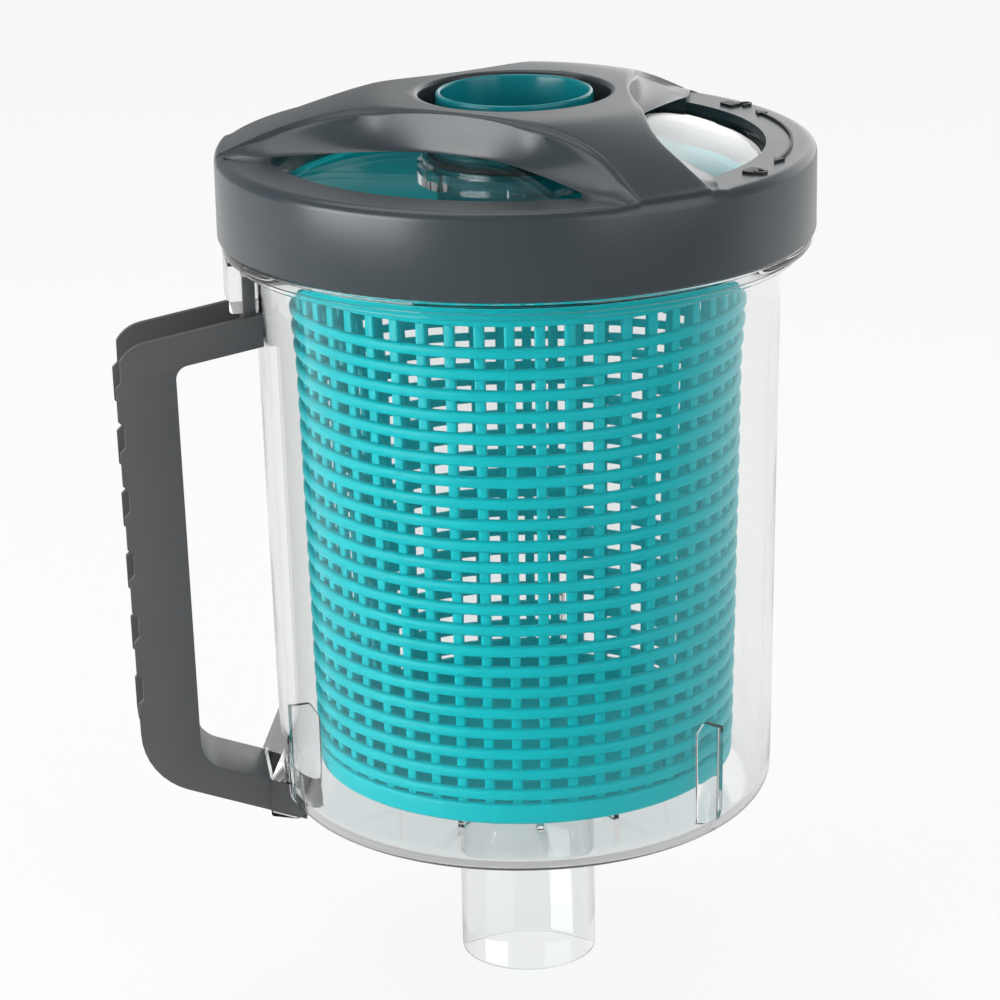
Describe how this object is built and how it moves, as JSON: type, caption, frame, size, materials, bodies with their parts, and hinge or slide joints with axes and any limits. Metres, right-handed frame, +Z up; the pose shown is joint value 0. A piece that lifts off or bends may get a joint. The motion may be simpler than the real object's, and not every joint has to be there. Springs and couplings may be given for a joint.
{
  "type": "pool leaf canister",
  "caption": "Clear in-line can with a side handle, a lift-out strainer basket, and a screw lid whose collar turns round a window with an inlet tube; a spigot is the outlet.",
  "frame": {"origin": "centre of the open end of the outlet spigot, which is the lowest point", "axes": "+Z up along the canister's axis to the inlet; the handle stands towards -X, 8.5 degrees round to -Y"},
  "size_m": [0.2254, 0.19, 0.2942],
  "materials": {
    "clear_plastic": "clear, polished",
    "window_plastic": "clear, polished",
    "teal_plastic": "translucent, satin gloss",
    "collar_plastic": "glossy",
    "handle_plastic": "fine matt grain",
    "seal_rubber": "matt"
  },
  "bodies": {
    "canister": {"canister_body": "clear_plastic", "handle": "handle_plastic", "leaf_basket": "teal_plastic"},
    "insert": {"lid_window": "window_plastic", "lid_seal": "seal_rubber", "inlet_tube": "teal_plastic", "inlet_o_ring": "seal_rubber", "inlet_lock_ring": "handle_plastic"},
    "collar": {"lid_collar": "collar_plastic"}
  },
  "joints": [
    {"name": "lid_lift", "type": "slide", "parent": "canister", "child": "insert", "axis": [0, 0, 1], "range_m": [0, 0.036]},
    {"name": "collar_turn", "type": "hinge", "parent": "insert", "child": "collar", "pos_m": [0, 0, 0.264], "axis": [0, 0, 1], "range_deg": [0, 360]}
  ],
  "couplings": [
    {"joint": "lid_lift", "follows": "collar_turn", "m_per_rad": 0.005729}
  ]
}
